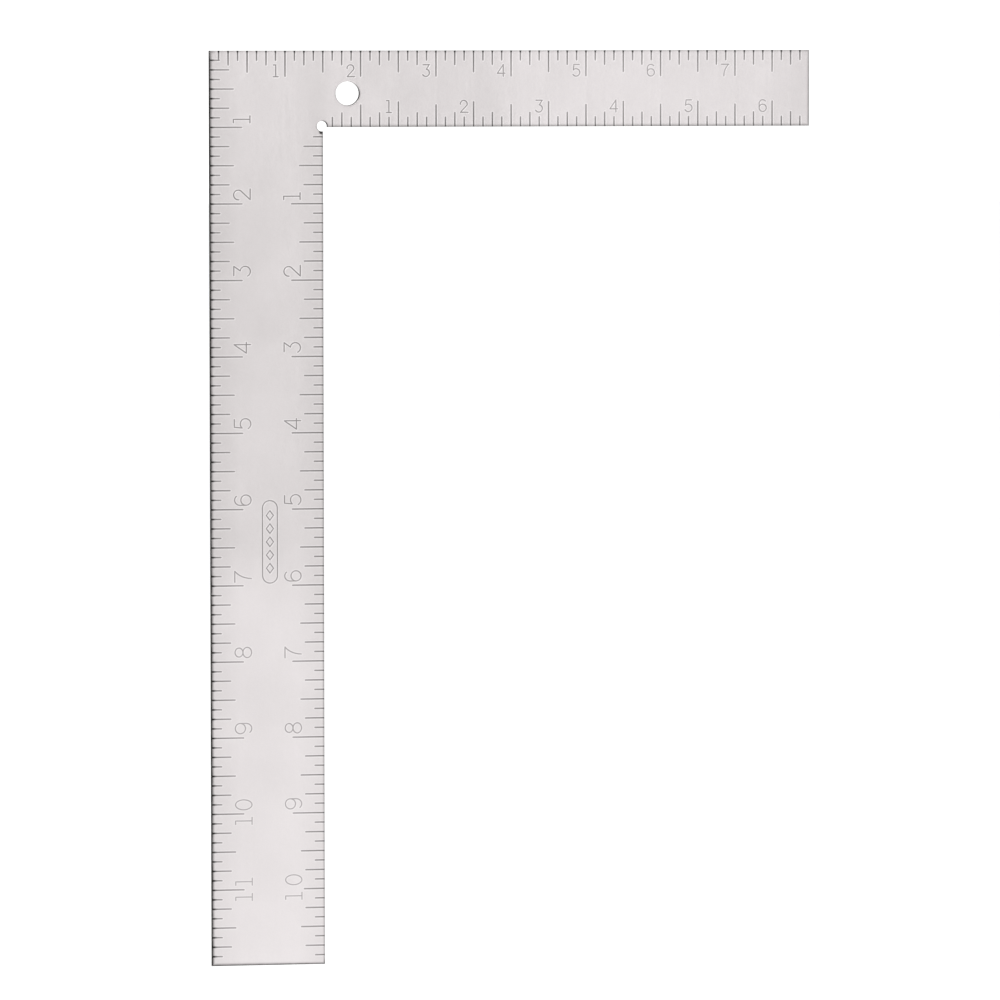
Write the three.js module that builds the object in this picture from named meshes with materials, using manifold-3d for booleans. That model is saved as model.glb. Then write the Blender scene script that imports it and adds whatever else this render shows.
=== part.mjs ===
// Flat steel carpenter's square, 8 by 12 inches, in millimetres, +Z up.
//
// The square is a single plate: a narrow horizontal tongue and a wider blade that hangs down from
// it. The origin is the outer heel corner, where both outer scales start. +X runs along the tongue,
// the blade runs down -Z, and the numbered face looks along -Y. The plate's middle plane is y = 0.

import * as THREE from "three";
import { mergeGeometries, mergeVertices } from "three/addons/utils/BufferGeometryUtils.js";
import Module from "manifold-3d";

const wasm = await Module();
wasm.setup();

// ---- Driving dimensions ----

const INCH = 25.4;
const TONGUE_LENGTH = 8 * INCH;
const TONGUE_WIDTH = 1 * INCH;
const BLADE_LENGTH = 12 * INCH;
const BLADE_WIDTH = 1.5 * INCH;
const THICKNESS = 2;

// Round hole that the square hangs from, almost straight above its centre of gravity.
const HANG_HOLE = { x: 46.35, y: -14.2, radius: (5 / 32) * INCH, segments: 96 };

// Small hole that clears the inner corner. Its centre lies a little inside the plate.
const RELIEF = { radius: 1.75, inset: 0.3, segments: 40 };

// Graduations are V-shaped grooves, eight to the inch, that run out through the plate's edge.
const MARKS_PER_INCH = 8;
const GROOVE_WIDTH = 0.6;
const GROOVE_DEPTH = 0.14;
const CUTTER_OVERLAP = 0.3;

const STEEL = { color: 0xdcd8d7, roughness: 0.38, metalness: 0.85 };

// ---- Scales ----

// Each scale starts at a corner, runs along one edge, and has its marks cut inwards from that edge.
// Marks grow from the eighths through the quarters and halves to the full inches. On the blade's
// inner scale one inch mark is cut shorter, to keep clear of its two-digit number.
const ALONG_TONGUE = new THREE.Vector3(1, 0, 0);
const ALONG_BLADE = new THREE.Vector3(0, -1, 0);
const HEEL = new THREE.Vector3(0, 0, 0);
const INNER_CORNER = new THREE.Vector3(BLADE_WIDTH, -TONGUE_WIDTH, 0);

const SCALES = [
  {
    zero: HEEL,
    along: ALONG_TONGUE,
    inward: ALONG_BLADE,
    span: TONGUE_LENGTH,
    marks: { eighth: 3.5, quarter: 5.0, half: 7.4, inch: 8.8 },
  },
  {
    zero: HEEL,
    along: ALONG_BLADE,
    inward: ALONG_TONGUE,
    span: BLADE_LENGTH,
    marks: { eighth: 3.7, quarter: 6.8, half: 8.3, inch: 11.1 },
  },
  {
    zero: INNER_CORNER,
    along: ALONG_TONGUE,
    inward: ALONG_BLADE.clone().negate(),
    span: TONGUE_LENGTH - BLADE_WIDTH,
    marks: { eighth: 3.5, quarter: 5.0, half: 7.6, inch: 8.6 },
  },
  {
    zero: INNER_CORNER,
    along: ALONG_BLADE,
    inward: ALONG_TONGUE.clone().negate(),
    span: BLADE_LENGTH - TONGUE_WIDTH,
    marks: { eighth: 3.5, quarter: 6.7, half: 8.2, inch: 10.9 },
    shortened: { inch: 10, length: 7.2 },
  },
];

function markLength(step, scale) {
  const { marks, shortened } = scale;
  if (shortened && step === shortened.inch * MARKS_PER_INCH) return shortened.length;
  if (step % MARKS_PER_INCH === 0) return marks.inch;
  if (step % (MARKS_PER_INCH / 2) === 0) return marks.half;
  if (step % (MARKS_PER_INCH / 4) === 0) return marks.quarter;
  return marks.eighth;
}

// ---- Solids ----

function toSolid(geometry) {
  const bare = geometry.clone();
  bare.deleteAttribute("normal");
  bare.deleteAttribute("uv");
  const merged = mergeVertices(bare);
  const vertProperties = new Float32Array(merged.attributes.position.array);
  const triVerts = new Uint32Array(merged.index.array);
  return new wasm.Manifold(new wasm.Mesh({ numProp: 3, vertProperties, triVerts }));
}

function toGeometry(solid) {
  const mesh = solid.getMesh();
  const geometry = new THREE.BufferGeometry();
  geometry.setAttribute("position", new THREE.BufferAttribute(mesh.vertProperties, mesh.numProp));
  geometry.setIndex(new THREE.BufferAttribute(mesh.triVerts, 1));
  return geometry;
}

// ---- Plate ----

// The outline goes clockwise from the heel. At the inner corner it follows the relief hole from
// the tongue's lower edge round to the blade's inner edge.
function plateOutline() {
  const outline = new THREE.Shape();
  outline.moveTo(0, 0);
  outline.lineTo(TONGUE_LENGTH, 0);
  outline.lineTo(TONGUE_LENGTH, -TONGUE_WIDTH);
  const overrun = Math.asin(RELIEF.inset / RELIEF.radius);
  const arc = new THREE.EllipseCurve(
    BLADE_WIDTH - RELIEF.inset,
    -TONGUE_WIDTH + RELIEF.inset,
    RELIEF.radius,
    RELIEF.radius,
    -overrun,
    1.5 * Math.PI + overrun,
  );
  for (const point of arc.getPoints(RELIEF.segments)) outline.lineTo(point.x, point.y);
  outline.lineTo(BLADE_WIDTH, -BLADE_LENGTH);
  outline.lineTo(0, -BLADE_LENGTH);
  outline.closePath();
  return outline;
}

function hangHole() {
  const circle = new THREE.EllipseCurve(HANG_HOLE.x, HANG_HOLE.y, HANG_HOLE.radius, HANG_HOLE.radius);
  const hole = new THREE.Path();
  hole.setFromPoints(circle.getPoints(HANG_HOLE.segments).slice(0, -1));
  hole.closePath();
  return hole;
}

function blankPlate() {
  const outline = plateOutline();
  outline.holes.push(hangHole());
  const plate = new THREE.ExtrudeGeometry(outline, { depth: THICKNESS, bevelEnabled: false });
  plate.translate(0, 0, -THICKNESS / 2);
  return toSolid(plate);
}

// ---- Graduations ----

// A wedge that cuts one groove. Its own Y points out of the face and its own Z points inwards from
// the edge. It overlaps the face and the edge so that it cuts cleanly through both.
function grooveCutter(length) {
  const apex = -GROOVE_DEPTH;
  const top = CUTTER_OVERLAP;
  const halfTop = ((GROOVE_WIDTH / 2) * (top - apex)) / GROOVE_DEPTH;
  const section = new THREE.Shape();
  section.moveTo(0, apex);
  section.lineTo(halfTop, top);
  section.lineTo(-halfTop, top);
  section.closePath();
  const reach = length + CUTTER_OVERLAP;
  const cutter = new THREE.ExtrudeGeometry(section, { depth: reach, bevelEnabled: false });
  cutter.translate(0, 0, -CUTTER_OVERLAP);
  return cutter;
}

function scaleCutter(scale, face) {
  const outward = new THREE.Vector3(0, 0, face);
  const across = new THREE.Vector3().crossVectors(outward, scale.inward);
  const turn = new THREE.Matrix4().makeBasis(across, outward, scale.inward);
  const count = Math.round((scale.span / INCH) * MARKS_PER_INCH) - 1;
  const cutters = [];
  for (let step = 1; step <= count; step += 1) {
    const cutter = grooveCutter(markLength(step, scale));
    const distance = (step * INCH) / MARKS_PER_INCH;
    const place = scale.zero.clone().addScaledVector(scale.along, distance);
    place.addScaledVector(outward, THICKNESS / 2);
    cutter.applyMatrix4(turn.clone().setPosition(place));
    cutters.push(cutter);
  }
  return toSolid(mergeGeometries(cutters));
}

function graduatedPlate() {
  let plate = blankPlate();
  for (const face of [1, -1]) {
    for (const scale of SCALES) plate = plate.subtract(scaleCutter(scale, face));
  }
  return plate;
}

// ---- The object ----

// The plate is drawn lying flat and then stood up, so that its drawn face looks along -Y.
const body = new THREE.Mesh(toGeometry(graduatedPlate()), new THREE.MeshStandardMaterial(STEEL));
body.name = "square_body";
body.rotation.x = Math.PI / 2;

const carpentersSquare = new THREE.Group();
carpentersSquare.add(body);

export default carpentersSquare;
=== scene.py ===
"""Looks of a flat steel carpenter's square, built around its CAD frame.

The frame's axes are kept: +X along the tongue, +Z up, and the numbered face towards -Y. The plate's
outline, graduations and numerals are drawn in millimetres as (x, z) points, triangulated once for
each face, and pressed into the steel. The finished mesh is in metres.
"""

import math
from typing import NamedTuple

import bpy
import numpy as np
from mathutils import Euler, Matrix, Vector
from mathutils.geometry import delaunay_2d_cdt


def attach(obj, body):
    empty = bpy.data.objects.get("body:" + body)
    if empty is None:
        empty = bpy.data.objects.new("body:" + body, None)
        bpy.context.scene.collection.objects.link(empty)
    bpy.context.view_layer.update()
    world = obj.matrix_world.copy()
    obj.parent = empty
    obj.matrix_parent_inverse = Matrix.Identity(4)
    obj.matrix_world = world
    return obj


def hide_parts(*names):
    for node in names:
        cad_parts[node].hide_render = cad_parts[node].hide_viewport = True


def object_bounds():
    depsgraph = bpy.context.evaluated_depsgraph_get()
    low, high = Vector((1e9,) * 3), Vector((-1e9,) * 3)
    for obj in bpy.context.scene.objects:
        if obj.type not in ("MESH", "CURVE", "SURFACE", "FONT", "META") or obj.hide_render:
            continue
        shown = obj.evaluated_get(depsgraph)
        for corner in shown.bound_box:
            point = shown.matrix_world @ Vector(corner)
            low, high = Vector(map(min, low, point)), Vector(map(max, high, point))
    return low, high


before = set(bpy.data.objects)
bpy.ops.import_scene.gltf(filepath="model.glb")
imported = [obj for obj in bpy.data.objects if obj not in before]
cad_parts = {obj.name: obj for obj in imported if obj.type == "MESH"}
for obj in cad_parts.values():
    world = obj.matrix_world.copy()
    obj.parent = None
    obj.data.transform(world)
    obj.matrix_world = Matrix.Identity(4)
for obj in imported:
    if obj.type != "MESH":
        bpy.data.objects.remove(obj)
cad_low, cad_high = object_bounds()

MM = 0.001
INCH = 25.4

# The plate's two faces, as the way that x runs for a reader: to the right, and on the back to the left.
FRONT = 1
BACK = -1

# ---- Plate, in millimetres, from the frame's own box ----

TONGUE_LENGTH = (cad_high.x - cad_low.x) / MM
BLADE_LENGTH = (cad_high.z - cad_low.z) / MM
THICKNESS = (cad_high.y - cad_low.y) / MM
TONGUE_WIDTH = 1.0 * INCH
BLADE_WIDTH = 1.5 * INCH
HANG_HOLE = {"x": 46.35, "z": -14.2, "radius": 5 / 32 * INCH, "segments": 96}
HANG_CENTRE = (HANG_HOLE["x"], HANG_HOLE["z"])
RELIEF = {"radius": 1.75, "inset": 0.3, "segments": 40}
RELIEF_CENTRE = (BLADE_WIDTH - RELIEF["inset"], RELIEF["inset"] - TONGUE_WIDTH)

# The borders are eased to a small radius, and burnished a little further in. Lines of points follow
# every border at these distances. The first four cut the easing's quarter circle into equal turns, and
# the rest lie where wear and the painted shade along the rims fade.
EASING = 0.35
WEAR_WIDTH = 1.3
BORDER_RINGS = (0, 0.134 * EASING, 0.5 * EASING, EASING, 0.7, 1.0, WEAR_WIDTH, 1.9)

# ---- Grooves, in millimetres ----

# Stamping a groove throws up a low lip on both sides. The open face lies a lip's height inside the
# CAD face, so that the lips just reach it. A groove is a V, and BOWL_POWER below 1 bows its sides out.
MARK_HALF_WIDTH = 0.3
NUMERAL_HALF_WIDTH = 0.25
GROOVE_DEPTH = 0.14
LIP_WIDTH = 0.3
LIP_HEIGHT = 0.018
BOWL_POWER = 0.8

# A point this little inside the edge of a groove or a lip counts as on it. The epsilon is how near
# the triangulation takes points and lines to touch.
RING_SLACK = 0.012
TRIANGULATION_EPSILON = 1e-4

# A rounded end has this many segments. A path is cut in two where it turns by more than SHARP_TURN,
# in degrees.
CAP_SEGMENTS = 6
SHARP_TURN = 40

# A triangle is shaded flat if its corners are no further than this from the open face. Shading has a
# crease wherever the surface turns by more than CREASE_ANGLE, in degrees.
FLAT_TOLERANCE = 1e-6
CREASE_ANGLE = 50

# Marks fade towards their inner ends. Numerals are pressed in less than marks, and less still for
# each inch away from the heel.
MARK_TIP_PRESS = 0.7
NUMERAL_PRESS = 0.68
NUMERAL_FADE = 0.03

# ---- Scales ----

MARKS_PER_INCH = 8
MARK_SPACING = INCH / MARKS_PER_INCH
RIGHT = (1, 0)
LEFT = (-1, 0)
UP = (0, 1)
DOWN = (0, -1)
HEEL = (0, 0)
INNER_CORNER = (BLADE_WIDTH, -TONGUE_WIDTH)

# Mark lengths are for the eighths, quarters, halves and inches, and press is how hard they were
# pressed in. Numerals stand between two distances from the scale's edge, foot and head. Their centres
# are beside their inch mark on the heel's side, and a lone 1 has its own distance, narrow.
SCALES = (
    {
        "zero": HEEL, "along": RIGHT, "inward": DOWN, "span": TONGUE_LENGTH,
        "marks": (3.5, 5.0, 7.4, 8.8), "press": 1.0, "foot": 8.65, "head": 4.75, "beside": 3.3,
        "narrow": 3.1,
    },
    {
        "zero": INNER_CORNER, "along": RIGHT, "inward": UP, "span": TONGUE_LENGTH - BLADE_WIDTH,
        "marks": (3.5, 5.0, 7.6, 8.6), "press": 1.0, "foot": 4.8, "head": 8.75, "beside": 3.2,
        "narrow": 3.2,
    },
    {
        "zero": HEEL, "along": DOWN, "inward": RIGHT, "span": BLADE_LENGTH,
        "marks": (3.7, 6.8, 8.3, 11.1), "press": 0.78, "foot": 13.6, "head": 8.05, "beside": 3.15,
        "narrow": 2.65,
    },
    {
        "zero": INNER_CORNER, "along": DOWN, "inward": LEFT, "span": BLADE_LENGTH - TONGUE_WIDTH,
        "marks": (3.5, 6.7, 8.2, 10.9), "press": 0.8, "foot": 7.75, "head": 13.25, "beside": 3.1,
        "narrow": 2.5, "shortened": {"inch": 10, "length": 7.2},
    },
)

# Two digits stand on either side of their inch mark. No numeral stands at a scale's very end, or
# nearer to it than END_CLEARANCE, in inches.
PAIR_OFFSETS = (-2.35, 3.05)
ELEVEN_OFFSETS = (-2.45, 2.7)
END_CLEARANCE = 0.01

# A plain stamp on the blade's numbered face: a slim rounded frame round a column of diamonds.
STAMP = {"x": 19.9, "top": -149.5, "bottom": -177.0, "half_width": 2.5, "press": 0.5}
DIAMOND = {"half_width": 1.2, "half_height": 1.6, "spacing": 4.4, "count": 5}

# ---- Painted shade, in millimetres ----

# The steel is painted with shade along its straight edges, darkest on the left and at the bottom: how
# dark, and how far in the painted shade reaches. Painted shade where the marks run out at an edge is
# stated in the same way for each mark's mouth.
TONGUE_TIP = (TONGUE_LENGTH, -TONGUE_WIDTH)
BLADE_TIP = (BLADE_WIDTH, -BLADE_LENGTH)
RIM_SHADES = (
    {"line": (HEEL, (0, -BLADE_LENGTH)), "dark": 0.98, "reach": 1.15, "mouth": 2.0, "mouth_reach": 1.9},
    {"line": (HEEL, (TONGUE_LENGTH, 0)), "dark": 0.42, "reach": 0.65, "mouth": 1.8, "mouth_reach": 1.0},
    {"line": (INNER_CORNER, TONGUE_TIP), "dark": 0.6, "reach": 1.05, "mouth": 0.9, "mouth_reach": 0.7},
    {"line": (INNER_CORNER, BLADE_TIP), "dark": 0.38, "reach": 0.95, "mouth": 0.8, "mouth_reach": 0.7},
    {"line": ((0, -BLADE_LENGTH), BLADE_TIP), "dark": 0.95, "reach": 0.85, "mouth": 0, "mouth_reach": 1.0},
    {"line": ((TONGUE_LENGTH, 0), TONGUE_TIP), "dark": 0.4, "reach": 1.0, "mouth": 0, "mouth_reach": 1.0},
)

# A spot of painted shade also darkens the relief hole's lower cusp.
CUSP_SHADE = {"place": (37.5, -27.0), "dark": 4.0, "reach": 0.95}

# The rims of both holes carry painted shade on their right, most of all at these angles in degrees.
HOLE_SHADES = (
    {"centre": HANG_CENTRE, "radius": HANG_HOLE["radius"], "turn": -32, "dark": 0.92, "reach": 0.6},
    {"centre": RELIEF_CENTRE, "radius": RELIEF["radius"], "turn": 25, "dark": 0.9, "reach": 0.5},
)


# ---- Plain shapes ----

def arc(centre, radii, start, end, segments):
    """Points round an ellipse from start to end, in degrees, both ends included."""
    angles = np.radians(np.linspace(start, end, segments + 1))
    return np.column_stack((
        centre[0] + radii[0] * np.cos(angles),
        centre[1] + radii[1] * np.sin(angles),
    ))


def outline_loop(inset):
    """The plate's outline moved inwards by inset, counter-clockwise from the heel corner."""
    reach = RELIEF["radius"] + inset
    overrun = math.degrees(math.asin((RELIEF["inset"] - inset) / reach))
    relief = arc(RELIEF_CENTRE, (reach, reach), 270 + overrun, -overrun, RELIEF["segments"])
    corners = [(inset, -inset), (inset, inset - BLADE_LENGTH), (BLADE_WIDTH - inset, inset - BLADE_LENGTH)]
    ends = [(TONGUE_LENGTH - inset, inset - TONGUE_WIDTH), (TONGUE_LENGTH - inset, -inset)]
    return np.vstack((corners, relief, ends))


def hole_loop(inset):
    """The hang hole's rim moved into the steel by inset."""
    reach = HANG_HOLE["radius"] + inset
    return arc(HANG_CENTRE, (reach, reach), 0, 360, HANG_HOLE["segments"])[:-1]


# ---- Numerals: single strokes in a box one unit high, centred on x = 0 ----

def numeral_strokes(digit):
    """The strokes of one digit, each an array of points."""
    bowl = 0.31
    if digit == 0:
        return [arc((0, 0.5), (0.3, 0.5), 0, 360, 28)]
    if digit == 1:
        return [np.array([(-0.2, 1), (0, 1), (0, 0)]), np.array([(-0.21, 0), (0.21, 0)])]
    if digit == 2:
        crown = arc((-0.03, 0.71), (0.29, 0.29), 185, -28, 14)
        return [np.vstack((crown, [(-0.31, 0), (0.33, 0)]))]
    if digit == 3:
        belly = arc((-0.03, bowl), (bowl, bowl), 82, -152, 14)
        return [np.vstack(([(-0.27, 1), (0.28, 1)], belly))]
    if digit == 4:
        return [np.array([(0.17, 0), (0.17, 1), (-0.34, 0.26), (0.3, 0.26)])]
    if digit == 5:
        belly = arc((-0.01, 0.32), (0.32, 0.32), 138, -150, 16)
        return [np.vstack(([(0.26, 1), (-0.2, 1)], belly))]
    if digit in (6, 9):
        tail = arc((0, 0.66), (bowl, 0.34), 42, 180, 12)
        loop = arc((0, bowl), (bowl, bowl), 180, 540, 22)
        six = np.vstack((tail, loop))
        return [six] if digit == 6 else [np.array([0, 1]) - six]
    if digit == 7:
        leg = arc((0.93, 0), (1.06, 1.24), 126, 180, 6)
        return [np.vstack(([(-0.35, 1), (0.31, 1)], leg))]
    upper = arc((0, 0.76), (0.27, 0.24), 270, -90, 20)
    lower = arc((0, 0.26), (0.31, 0.26), 90, 450, 22)
    return [upper, lower]


def numeral_centres(number, scale):
    """How far each digit's centre is past the inch mark, if the number reads towards the heel."""
    if number == 11:
        return ELEVEN_OFFSETS
    if number >= 10:
        return PAIR_OFFSETS
    return (scale["narrow"] if number == 1 else scale["beside"],)


# ---- Strokes on one face ----

class Stroke(NamedTuple):
    """One groove: its centre line, half width, and how hard it was pressed at its start and end."""

    path: np.ndarray
    half_width: float
    press: float
    end_press: float

    def rings(self):
        """Distances from the centre line at which lines of points follow the groove and its lips."""
        return (
            0.5 * self.half_width,
            self.half_width,
            self.half_width + 0.5 * LIP_WIDTH,
            self.half_width + LIP_WIDTH,
        )


def even_strokes(path, press):
    """A numeral's or stamp's path as evenly pressed strokes, without sharp corners."""
    return [Stroke(part, NUMERAL_HALF_WIDTH, press, press) for part in split_at_corners(path)]


def mark_length(step, scale):
    """How far a scale's mark number step reaches in from its edge."""
    eighth, quarter, half, inch = scale["marks"]
    shortened = scale.get("shortened")
    if shortened and step == shortened["inch"] * MARKS_PER_INCH:
        return shortened["length"]
    if step % MARKS_PER_INCH == 0:
        return inch
    if step % (MARKS_PER_INCH // 2) == 0:
        return half
    return quarter if step % (MARKS_PER_INCH // 4) == 0 else eighth


def mark_strokes(scale):
    """The graduations of one scale, each running out past the plate's edge."""
    zero, along, inward = (np.array(scale[key], float) for key in ("zero", "along", "inward"))
    overrun = 2 * MARK_HALF_WIDTH
    strokes = []
    for step in range(1, round(scale["span"] / MARK_SPACING)):
        start = zero + along * step * MARK_SPACING
        reach = mark_length(step, scale) - MARK_HALF_WIDTH
        path = np.array([start - inward * overrun, start + inward * reach])
        strokes.append(Stroke(path, MARK_HALF_WIDTH, scale["press"], scale["press"] * MARK_TIP_PRESS))
    return strokes


def reading_directions(scale, face):
    """Which way a scale's numerals read and which way their heads point, as (x, z) directions."""
    if scale["along"] == RIGHT:
        return np.array([face, 0]), np.array([0, 1])
    return np.array([0, face]), np.array([-1, 0])


def scale_numerals(scale, face):
    """The numeral strokes of one scale on one face."""
    zero, along, inward = (np.array(scale[key], float) for key in ("zero", "along", "inward"))
    reading, head_way = reading_directions(scale, face)
    height = abs(scale["head"] - scale["foot"])
    reads_away_from_heel = np.dot(reading, along) > 0
    strokes = []
    for number in range(1, math.ceil(scale["span"] / INCH - END_CLEARANCE)):
        press = NUMERAL_PRESS - NUMERAL_FADE * number
        foot = zero + along * number * INCH + inward * scale["foot"]
        offsets = numeral_centres(number, scale)
        if reads_away_from_heel:
            offsets = [-offset for offset in reversed(offsets)]
        for digit, offset in zip(str(number), offsets):
            centre = foot + reading * offset
            for shape in numeral_strokes(int(digit)):
                path = centre + height * (shape[:, :1] * reading + shape[:, 1:] * head_way)
                strokes += even_strokes(path, press)
    return strokes


def stamp_strokes():
    """The plain stamp: a closed frame with round ends, and the diamonds down its middle."""
    middle, reach = STAMP["x"], STAMP["half_width"]
    top_bend = arc((middle, STAMP["top"] - reach), (reach, reach), 0, 180, 16)
    bottom_bend = arc((middle, STAMP["bottom"] + reach), (reach, reach), 180, 360, 16)
    strokes = even_strokes(np.vstack((top_bend, bottom_bend, top_bend[:1])), STAMP["press"])
    wide, high = DIAMOND["half_width"], DIAMOND["half_height"]
    corners = np.array([(0, high), (wide, 0), (0, -high), (-wide, 0), (0, high)])
    centre = (STAMP["top"] + STAMP["bottom"]) / 2
    for number in range(DIAMOND["count"]):
        level = centre + (number - (DIAMOND["count"] - 1) / 2) * DIAMOND["spacing"]
        strokes += even_strokes(corners + (middle, level), STAMP["press"])
    return strokes


def face_strokes(face):
    """Every groove of one face: graduations, numerals, and the stamp on the numbered face."""
    strokes = []
    for scale in SCALES:
        strokes += mark_strokes(scale)
    for scale in SCALES:
        strokes += scale_numerals(scale, face)
    if face == FRONT:
        strokes += stamp_strokes()
    return strokes


def unit_runs(path):
    """The direction of each straight run of a path."""
    runs = np.diff(path, axis=0)
    return runs / np.linalg.norm(runs, axis=1, keepdims=True)


def split_at_corners(path):
    """Cuts a path in two wherever it turns sharply, so that each part only bends gently."""
    runs = unit_runs(path)
    straightness = (runs[:-1] * runs[1:]).sum(axis=1)
    corners = np.flatnonzero(straightness < math.cos(math.radians(SHARP_TURN))) + 1
    ends = [0, *corners, len(path) - 1]
    return [path[first:last + 1] for first, last in zip(ends[:-1], ends[1:])]


# ---- Triangulating one face ----

def side_offsets(path):
    """The step from each point of a path to a line one unit to its side."""
    runs = unit_runs(path)
    before = np.vstack((runs[:1], runs))
    after = np.vstack((runs, runs[-1:]))
    mitred = (before + after) / (1 + (before * after).sum(axis=1, keepdims=True))
    return np.column_stack((-mitred[:, 1], mitred[:, 0]))


def ribbon_loop(path, reach):
    """A closed line all round a path, reach away from it, with rounded ends."""
    sides = side_offsets(path) * reach
    caps = []
    for point, side in ((path[-1], sides[-1]), (path[0], -sides[0])):
        start = math.degrees(math.atan2(side[1], side[0]))
        caps.append(arc(point, (reach, reach), start, start - 180, CAP_SEGMENTS)[1:-1])
    return np.vstack((path + sides, caps[0], (path - sides)[::-1], caps[1]))


class Sketch:
    """Points and lines that the triangulation has to follow."""

    def __init__(self):
        self.points = []
        self.lines = []

    def add(self, path, closed):
        first = len(self.points)
        count = len(path)
        self.points += [Vector((float(x), float(z))) for x, z in path]
        self.lines += [(first + i, first + i + 1) for i in range(count - 1)]
        if closed:
            self.lines.append((first + count - 1, first))


def measure_from_path(points, path):
    """How far each point is from a path, and where along it the nearest place is, from 0 to 1."""
    gap = np.full(len(points), np.inf)
    along = np.zeros(len(points))
    for number, (start, end) in enumerate(zip(path[:-1], path[1:])):
        run = end - start
        share = np.clip((points - start) @ run / (run @ run), 0, 1)
        here = np.linalg.norm(points - start - share[:, None] * run, axis=1)
        closer = here < gap
        gap[closer] = here[closer]
        along[closer] = (number + share[closer]) / (len(path) - 1)
    return gap, along


def inside_plate(points):
    """True for each point on the steel. The holes' chords lie a little inside their circles."""
    x, z = points[:, 0], points[:, 1]
    on_tongue = (x > 0) & (x < TONGUE_LENGTH) & (z < 0) & (z > -TONGUE_WIDTH)
    on_blade = (x > 0) & (x < BLADE_WIDTH) & (z < 0) & (z > -BLADE_LENGTH)
    from_hole = np.linalg.norm(points - HANG_CENTRE, axis=1)
    from_relief = np.linalg.norm(points - RELIEF_CENTRE, axis=1)
    hole_chord = HANG_HOLE["radius"] * math.cos(math.pi / HANG_HOLE["segments"])
    relief_chord = RELIEF["radius"] * math.cos(0.75 * math.pi / RELIEF["segments"])
    return (on_tongue | on_blade) & (from_hole > hole_chord) & (from_relief > relief_chord)


def triangulate_face(strokes):
    """Points and counter-clockwise triangles of one face, following its borders and grooves."""
    sketch = Sketch()
    for inset in BORDER_RINGS:
        sketch.add(outline_loop(inset), closed=True)
        sketch.add(hole_loop(inset), closed=True)
    for stroke in strokes:
        sketch.add(stroke.path, closed=False)
        for reach in stroke.rings():
            sketch.add(ribbon_loop(stroke.path, reach), closed=True)
    found = delaunay_2d_cdt(sketch.points, sketch.lines, [], 0, TRIANGULATION_EPSILON, False)
    points = np.array([tuple(v) for v in found[0]], float)
    triangles = np.array(found[2], int)
    triangles = triangles[inside_plate(points[triangles].mean(axis=1))]
    used, packed = np.unique(triangles, return_inverse=True)
    return points[used], packed.reshape(-1, 3)


def border_chains(triangles, points):
    """The face's border loops as lists of point numbers: the outline, then the hang hole."""
    runs = np.vstack((triangles[:, [0, 1]], triangles[:, [1, 2]], triangles[:, [2, 0]]))
    known = set(map(tuple, runs.tolist()))
    following = {a: b for a, b in known if (b, a) not in known}
    chains = []
    for landmark in (np.array(HEEL), hole_loop(0)[0]):
        border = np.array(list(following))
        first = int(border[np.argmin(np.linalg.norm(points[border] - landmark, axis=1))])
        chain = [first]
        while following[chain[-1]] != first:
            chain.append(following[chain[-1]])
        chains.append(chain)
    return chains


# ---- Relief of one face ----

def groove_and_lip(points, strokes):
    """Groove depth, lip height and nearness to a groove at each point, each from 0 to 1."""
    groove = np.zeros(len(points))
    lip = np.zeros(len(points))
    nearness = np.zeros(len(points))
    for stroke in strokes:
        outer = stroke.rings()[-1]
        low = stroke.path.min(axis=0) - outer
        high = stroke.path.max(axis=0) + outer
        near = np.flatnonzero(((points > low) & (points < high)).all(axis=1))
        gap, along = measure_from_path(points[near], stroke.path)
        press = stroke.press + (stroke.end_press - stroke.press) * along
        bowl = np.clip(1 - gap / (stroke.half_width - RING_SLACK), 0, 1) ** BOWL_POWER
        swell = np.clip((gap - stroke.half_width) / (LIP_WIDTH - RING_SLACK), 0, 1)
        groove[near] = np.maximum(groove[near], press * bowl)
        lip[near] = np.maximum(lip[near], press * np.sin(math.pi * swell))
        nearness[near] = np.maximum(nearness[near], np.clip(1 - gap / outer, 0, 1))
    lip[groove > 0] = 0
    return groove, lip, nearness


def border_distance(points):
    """How far each point is from the nearest border."""
    loops = (outline_loop(0), hole_loop(0))
    gaps = [measure_from_path(points, np.vstack((loop, loop[:1])))[0] for loop in loops]
    return np.minimum(*gaps)


def easing_drop(from_border):
    """How far the eased border falls below the face at a distance from the border."""
    into = np.clip(EASING - from_border, 0, EASING)
    return EASING - np.sqrt(EASING ** 2 - into ** 2)


def fade(gap, reach):
    """From 1 at no distance down to 0 at reach, without a kink at either end."""
    share = np.clip(1 - gap / reach, 0, 1)
    return share * share * (3 - 2 * share)


def hole_stain(points, painted_shade):
    """How dark the painted shade on one side of a hole's rim is at each point, from 0 to 1."""
    spokes = points - painted_shade["centre"]
    length = np.linalg.norm(spokes, axis=1)
    turn = math.radians(painted_shade["turn"])
    facing = np.clip(spokes @ (math.cos(turn), math.sin(turn)) / length, 0, 1)
    return painted_shade["dark"] * facing * fade(length - painted_shade["radius"], painted_shade["reach"])


def stain_darkness(points, nearness):
    """How dark the painted shade is at each point, from 0 to 1."""
    painted_shades = [hole_stain(points, painted_shade) for painted_shade in HOLE_SHADES]
    from_cusp = np.linalg.norm(points - CUSP_SHADE["place"], axis=1)
    painted_shades.append(CUSP_SHADE["dark"] * fade(from_cusp, CUSP_SHADE["reach"]))
    for rim in RIM_SHADES:
        gap = measure_from_path(points, np.array(rim["line"], float))[0]
        painted_shades.append(rim["dark"] * fade(gap, rim["reach"]))
        painted_shades.append(rim["mouth"] * nearness * fade(gap, rim["mouth_reach"]))
    return np.clip(np.max(painted_shades, axis=0), 0, 1)


# ---- The plate ----

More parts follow.
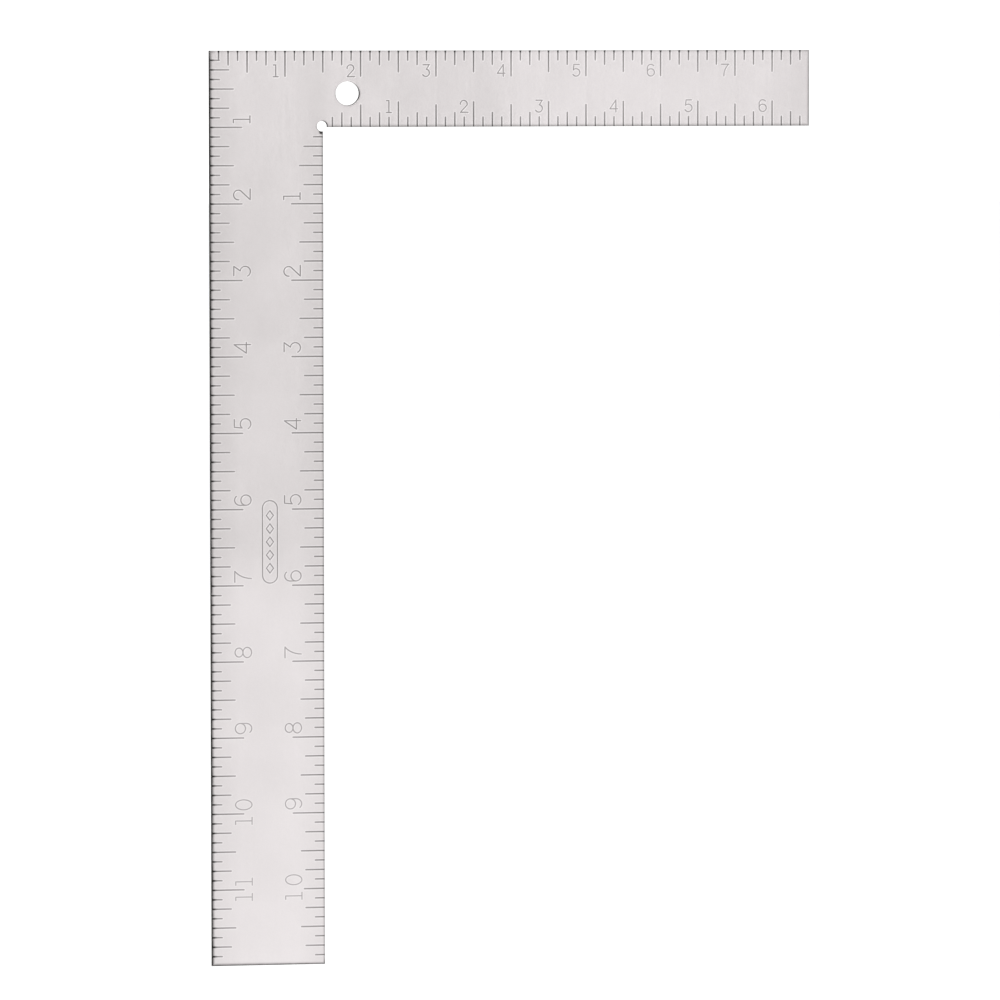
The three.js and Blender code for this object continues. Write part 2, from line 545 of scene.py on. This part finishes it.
def build_face(face):
    """One face: its points, triangles, heights below the flat face, and finish values."""
    strokes = face_strokes(face)
    points, triangles = triangulate_face(strokes)
    groove, lip, nearness = groove_and_lip(points, strokes)
    from_border = border_distance(points)
    return {
        "points": points,
        "triangles": triangles,
        "depth": groove * GROOVE_DEPTH - lip * LIP_HEIGHT + easing_drop(from_border),
        "groove": groove,
        "lip": lip,
        "painted_shade": stain_darkness(points, nearness),
        "wear": np.clip(1 - from_border / WEAR_WIDTH, 0, 1),
        "wall": np.zeros(len(points)),
        "chains": border_chains(triangles, points),
    }


def wall_quads(front, back, back_start):
    """Quads that join the two faces round each border."""
    quads = []
    for front_chain, back_chain in zip(front["chains"], back["chains"]):
        if len(front_chain) != len(back_chain):
            raise ValueError("the two faces have different borders")
        for i, front_here in enumerate(front_chain):
            after = (i + 1) % len(front_chain)
            front_next = front_chain[after]
            back_here = back_chain[i] + back_start
            back_next = back_chain[after] + back_start
            quads.append((front_next, front_here, back_here, back_next))
    return quads


def build_plate():
    """The whole plate as one closed mesh."""
    front = build_face(FRONT)
    back = build_face(BACK)
    half = THICKNESS / 2 - LIP_HEIGHT
    front_y = front["depth"] - half
    back_y = half - back["depth"]
    places = np.vstack((
        np.column_stack((front["points"][:, 0], front_y, front["points"][:, 1])),
        np.column_stack((back["points"][:, 0], back_y, back["points"][:, 1])),
    ))
    back_start = len(front["points"])
    quads = wall_quads(front, back, back_start)
    faces = front["triangles"].tolist()
    faces += (back["triangles"][:, ::-1] + back_start).tolist()
    face_count = len(faces)
    faces += quads

    mesh = bpy.data.meshes.new("square_plate")
    mesh.from_pydata((places * MM).tolist(), [], faces)
    paint_corners(mesh, front, back, face_count)
    smooth_curved_faces(mesh, np.concatenate((front["depth"], back["depth"])), face_count)
    mesh.validate()
    plate = bpy.data.objects.new("square_plate", mesh)
    bpy.context.scene.collection.objects.link(plate)
    return plate


def paint_corners(mesh, front, back, face_count):
    """Stores the finish values on the face corners, so that the side walls have their own."""
    corner_points = np.zeros(len(mesh.loops), int)
    mesh.loops.foreach_get("vertex_index", corner_points)
    on_wall = np.arange(len(mesh.loops)) >= face_count * 3
    for name in ("groove", "lip", "painted_shade", "wear", "wall"):
        values = np.concatenate((front[name], back[name]))[corner_points]
        # The side walls take the full painted shade and wear.
        values[on_wall] = 0.0 if name in ("groove", "lip") else 1.0
        layer = mesh.attributes.new(name, "FLOAT", "CORNER")
        layer.data.foreach_set("value", values.astype(np.float32))


def smooth_curved_faces(mesh, depth, face_count):
    """Flat shading on the open face, smooth shading in the grooves, on eased borders and walls."""
    smooth = np.ones(len(mesh.polygons), bool)
    for polygon in mesh.polygons[:face_count]:
        smooth[polygon.index] = max(abs(depth[v]) for v in polygon.vertices) > FLAT_TOLERANCE
    mesh.polygons.foreach_set("use_smooth", smooth)
    mesh.set_sharp_from_angle(angle=math.radians(CREASE_ANGLE))


# ---- Steel ----

class NodeBoard:
    """Short calls for building one material's nodes."""

    def __init__(self, owner):
        owner.use_nodes = True
        self.tree = owner.node_tree
        self.tree.nodes.clear()

    def node(self, kind, **settings):
        made = self.tree.nodes.new(kind)
        for name, value in settings.items():
            setattr(made, name, value)
        return made

    def join(self, source, target):
        self.tree.links.new(source, target)

    def attribute(self, name):
        return self.node("ShaderNodeAttribute", attribute_name=name).outputs["Fac"]

    def math(self, operation, first, second):
        made = self.node("ShaderNodeMath", operation=operation)
        for socket, value in zip(made.inputs, (first, second)):
            self.put(socket, value)
        return made.outputs[0]

    def put(self, socket, value):
        if hasattr(value, "links"):
            self.join(value, socket)
        else:
            socket.default_value = value

    def stretch(self, coordinates, scale):
        made = self.node("ShaderNodeMapping")
        self.join(coordinates, made.inputs["Vector"])
        made.inputs["Scale"].default_value = scale
        return made.outputs["Vector"]

    def noise(self, coordinates, scale, detail, roughness=0.5):
        made = self.node("ShaderNodeTexNoise")
        self.join(coordinates, made.inputs["Vector"])
        made.inputs["Scale"].default_value = scale
        made.inputs["Detail"].default_value = detail
        made.inputs["Roughness"].default_value = roughness
        return made.outputs["Fac"]

    def span(self, value, low, high, to_low, to_high):
        made = self.node("ShaderNodeMapRange")
        for name, given in (
            ("Value", value), ("From Min", low), ("From Max", high), ("To Min", to_low), ("To Max", to_high),
        ):
            self.put(made.inputs[name], given)
        return made.outputs["Result"]

    def mix(self, share, first, second):
        made = self.node("ShaderNodeMix", data_type="RGBA")
        self.put(made.inputs["Factor"], share)
        self.put(made.inputs["A"], first)
        self.put(made.inputs["B"], second)
        return made.outputs["Result"]


# The open steel is mixed from dull to pale by random clouds and grain, and by bands of painted sheen and
# shade.
FACE_PALE = (0.627, 0.596, 0.6, 1)
FACE_DULL = (0.452, 0.43, 0.428, 1)
GROOVE_TONE = (0.05, 0.046, 0.045, 1)
# The darkest tone is painted shade, laid along the rims, on the holes' right sides, in the relief's cusp and
# where the marks run out.
PAINTED_SHADE_TONE = (0.02, 0.019, 0.018, 1)
# The side walls are painted near black between these two tones: painted shade on the walls, streaked by the
# drag marks.
WALL_PALE = (0.13, 0.126, 0.122, 1)
WALL_DULL = (0.055, 0.053, 0.051, 1)
WHITE = (1, 1, 1, 1)
DARK_TINT = (0.05, 0.05, 0.05, 1)

# Sizes of the noises, as features to the metre. The drag marks are drawn out along the blade.
GRAIN_SCALE = 2600
DRAG_SCALE = (900, 900, 60)
BLOTCH_SCALE = 420
CLOUD_SCALE = 38

# The spans of values that count: of one noise, of the grain, and of grain and drag added together.
# Values outside them are held at their ends.
NOISE_SPAN = (0.35, 0.65)
GRAIN_SPAN = (0.3, 0.7)
SUM_SPAN = (0.7, 1.3)

# Clouds and speckle are added to the painted sheen. Blotches multiply the painted shade. The lips are
# mixed with white by LIP_GLINT at most, a painted glint.
CLOUDS = (-0.05, 0.1)
SPECKLE = 0.06
BLOTCHES = (0.92, 1.06)
LIP_GLINT = 0.35

# A groove is dark by this power of its depth, and by less where the painted sheen is within
# PALE_SPAN, so the grooves share in the painted sheen.
GROOVE_DARK_POWER = 0.5
PALE_SPAN = (0.5, 1)
GROOVE_DARK_ON_PALE = 0.85

# Roughness comes from grain and drag. Wear takes BURNISH from it and grooves add to it.
ROUGHNESS = (0.34, 0.44)
BURNISH = 0.05
GROOVE_ROUGHENING = 0.25
GROOVE_METALLIC = 0.55

# The bump is the grain and this share of the drag marks, with its distance in metres.
DRAG_BUMP = 0.6
BUMP_STRENGTH = 0.12
BUMP_DISTANCE = 0.00002

# Broad bands of painted sheen and painted shade, in millimetres along one axis, across which the steel
# is painted paler or duller.
HEEL_SHEEN = 0.25
PAINTED_SHEEN_BANDS = (
    ("X", 2, 10, 0.28),
    ("X", 29, 36, -0.17),
    ("X", 37, 41, 0.17),
    ("X", 94, 104, 0.24),
    ("X", 186, 197, -0.14),
    ("Z", -26, -60, -0.13),
    ("Z", -162, -186, 0.3),
    ("Z", -240, -285, 0.14),
)


def sheen(board, where):
    """How pale the open steel is at each place: random clouds and bands of painted sheen, from the heel's
    dull steel outwards.
    """
    axes = board.node("ShaderNodeSeparateXYZ")
    board.join(where, axes.inputs[0])
    low, high = (HEEL_SHEEN + change for change in CLOUDS)
    total = board.span(board.noise(where, CLOUD_SCALE, detail=3), *NOISE_SPAN, low, high)
    for axis, start, end, gain in PAINTED_SHEEN_BANDS:
        low, high = sorted((start * MM, end * MM))
        left, right = (0, gain) if start < end else (gain, 0)
        total = board.math("ADD", total, board.span(axes.outputs[axis], low, high, left, right))
    return total


def open_steel(board, grain, shine):
    """The open face's colour: bands of painted sheen from dull to pale, speckled, with a painted glint on
    the lips.
    """
    speckled = board.math("ADD", shine, board.span(grain, *GRAIN_SPAN, -SPECKLE, SPECKLE))
    face = board.mix(speckled, FACE_DULL, FACE_PALE)
    return board.mix(board.math("MULTIPLY", board.attribute("lip"), LIP_GLINT), face, WHITE)


def steel_roughness(board, grain, drag, cut):
    """Satin all over, smoother where it is burnished and rougher in the grooves."""
    satin = board.span(board.math("ADD", grain, drag), *SUM_SPAN, *ROUGHNESS)
    burnish = board.math("MULTIPLY", board.attribute("wear"), BURNISH)
    roughening = board.math("MULTIPLY", cut, GROOVE_ROUGHENING)
    return board.math("ADD", board.math("SUBTRACT", satin, burnish), roughening)


def steel_bump(board, grain, drag):
    """The grain and the drag marks as a shallow bump."""
    bump = board.node("ShaderNodeBump")
    board.put(bump.inputs["Strength"], BUMP_STRENGTH)
    board.put(bump.inputs["Distance"], BUMP_DISTANCE)
    board.put(bump.inputs["Height"], board.math("ADD", grain, board.math("MULTIPLY", drag, DRAG_BUMP)))
    return bump.outputs["Normal"]


def satin_steel():
    """Pale satin steel: bands of painted sheen, fine grain, dark grooves, and streaked walls and rims
    darkened with painted shade.
    """
    material = bpy.data.materials.new("satin_steel")
    board = NodeBoard(material)
    where = board.node("ShaderNodeTexCoord").outputs["Object"]
    grain = board.noise(where, GRAIN_SCALE, detail=2)
    drag = board.noise(board.stretch(where, DRAG_SCALE), 1, detail=3, roughness=0.6)
    shine = sheen(board, where)
    wall = board.attribute("wall")

    cut = board.math("POWER", board.attribute("groove"), GROOVE_DARK_POWER)
    # Grooves are darker with depth, and less dark where the painted sheen is pale.
    groove_darkness = board.math("MULTIPLY", cut, board.span(shine, *PALE_SPAN, 1, GROOVE_DARK_ON_PALE))
    grooved = board.mix(groove_darkness, open_steel(board, grain, shine), GROOVE_TONE)
    # Painted shade on the rims, holes, cusp and mark mouths, varied by blotches.
    blotch = board.span(board.noise(where, BLOTCH_SCALE, detail=3), *NOISE_SPAN, *BLOTCHES)
    painted_shade = board.math("MULTIPLY", board.attribute("painted_shade"), blotch)
    with_painted_shade = board.mix(painted_shade, grooved, PAINTED_SHADE_TONE)
    # The walls take the streaked dark tones as painted shade.
    streaked = board.mix(board.span(drag, *NOISE_SPAN, 0, 1), WALL_DULL, WALL_PALE)
    # The reflections are dimmed where the walls and the painted shade are: painted shade in the specular
    # tint.
    tint = board.mix(board.math("MAXIMUM", wall, painted_shade), WHITE, DARK_TINT)

    skin = board.node("ShaderNodeBsdfPrincipled")
    board.put(skin.inputs["Base Color"], board.mix(wall, with_painted_shade, streaked))
    board.put(skin.inputs["Roughness"], steel_roughness(board, grain, drag, cut))
    board.put(skin.inputs["Normal"], steel_bump(board, grain, drag))
    board.put(skin.inputs["Metallic"], board.span(cut, 0, 1, 1, GROOVE_METALLIC))
    board.put(skin.inputs["Specular Tint"], tint)
    output = board.node("ShaderNodeOutputMaterial")
    board.join(skin.outputs["BSDF"], output.inputs["Surface"])
    return material


# ---- Stage ----

# The floor's drop and size are in metres, and its speckle has this many features to the metre.
FLOOR_DROP = 0.15
FLOOR_SIZE = 40.0
FLOOR_TONES = ((0.93, 0.93, 0.93, 1), (0.96, 0.96, 0.96, 1))
FLOOR_SPECKLE_SCALE = 90
FLOOR_ROUGHNESS = 0.9
FLOOR_GLOSS = 0.1

# The studio's light falls off to the left and right, in directions whose x is in this span.
STUDIO_BRIGHTNESS = 1.2
STUDIO_SIDE_BRIGHTNESS = 0.64
STUDIO_FALL_OFF = (0.4, 0.95)

# Metres, degrees and watts.
KEY_LIGHT = {"place": (-1.2, -2.2, 1.6), "turn": (58, 0, -28), "size": 1.6, "power": 60}


def pale_floor():
    """A plain pale floor, some way below the end of the blade: the square hangs from its hole."""
    mesh = bpy.data.meshes.new("floor")
    side = FLOOR_SIZE / 2
    level = cad_low.z - FLOOR_DROP
    corners = [(-side, -side, level), (side, -side, level), (side, side, level), (-side, side, level)]
    mesh.from_pydata(corners, [], [(0, 1, 2, 3)])
    floor = bpy.data.objects.new("floor", mesh)
    bpy.context.scene.collection.objects.link(floor)
    material = bpy.data.materials.new("floor_paint")
    board = NodeBoard(material)
    where = board.node("ShaderNodeTexCoord").outputs["Object"]
    speckle = board.noise(where, FLOOR_SPECKLE_SCALE, detail=3)
    skin = board.node("ShaderNodeBsdfPrincipled")
    board.put(skin.inputs["Base Color"], board.mix(speckle, *FLOOR_TONES))
    board.put(skin.inputs["Roughness"], FLOOR_ROUGHNESS)
    board.put(skin.inputs["Specular IOR Level"], FLOOR_GLOSS)
    output = board.node("ShaderNodeOutputMaterial")
    board.join(skin.outputs["BSDF"], output.inputs["Surface"])
    mesh.materials.append(material)


def white_surroundings():
    """A studio that always looks white, but lights less from the left and right than all round."""
    world = bpy.data.worlds.new("studio")
    bpy.context.scene.world = world
    board = NodeBoard(world)
    axes = board.node("ShaderNodeSeparateXYZ")
    board.join(board.node("ShaderNodeTexCoord").outputs["Generated"], axes.inputs[0])
    sideways = board.math("ABSOLUTE", axes.outputs["X"], 0)
    light = board.span(sideways, *STUDIO_FALL_OFF, STUDIO_BRIGHTNESS, STUDIO_SIDE_BRIGHTNESS)
    seen = board.node("ShaderNodeLightPath").outputs["Is Camera Ray"]
    background = board.node("ShaderNodeBackground")
    board.put(background.inputs["Color"], WHITE)
    board.put(background.inputs["Strength"], board.math("MAXIMUM", light, seen))
    output = board.node("ShaderNodeOutputWorld")
    board.join(background.outputs["Background"], output.inputs["Surface"])


def softbox(name, place, turn, size, power):
    """A square area light."""
    light = bpy.data.lights.new(name, "AREA")
    light.shape = "SQUARE"
    light.size = size
    light.energy = power
    lamp = bpy.data.objects.new(name, light)
    lamp.location = place
    lamp.rotation_euler = Euler([math.radians(angle) for angle in turn])
    bpy.context.scene.collection.objects.link(lamp)


# ---- Camera ----

# Angles in degrees, the lens in millimetres, the rest in metres. The camera aims a little off the
# middle of the CAD box, and sees no further than CAMERA_REACH.
CAMERA_AZIMUTH = -9.94
CAMERA_ELEVATION = 3.26
CAMERA_DISTANCE = 2.695
CAMERA_LENS = 290.0
CAMERA_ROLL = -0.07
CAMERA_REACH = 100
AIM_OFFSET = Vector((-0.0038, 0, 0.0022))


def photographers_camera():
    """A long lens a little to the left of the numbered face and a little above it."""
    camera = bpy.data.objects.new("camera", bpy.data.cameras.new("camera"))
    camera.data.lens = CAMERA_LENS
    azimuth, elevation = math.radians(CAMERA_AZIMUTH), math.radians(CAMERA_ELEVATION)
    back = Vector((
        math.sin(azimuth) * math.cos(elevation),
        -math.cos(azimuth) * math.cos(elevation),
        math.sin(elevation),
    ))
    aim = (cad_low + cad_high) / 2 + AIM_OFFSET
    camera.location = aim + back * CAMERA_DISTANCE
    roll = Euler((0, 0, math.radians(CAMERA_ROLL))).to_quaternion()
    camera.rotation_mode = "QUATERNION"
    camera.rotation_quaternion = (-back).to_track_quat("-Z", "Y") @ roll
    camera.data.clip_end = CAMERA_REACH
    bpy.context.scene.collection.objects.link(camera)
    bpy.context.scene.camera = camera


# ---- The scene ----

plate = build_plate()
plate.data.materials.append(satin_steel())
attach(plate, "root")
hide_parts("square_body")

pale_floor()
white_surroundings()
softbox("key_light", **KEY_LIGHT)
photographers_camera()
bpy.context.scene.view_settings.view_transform = "Standard"
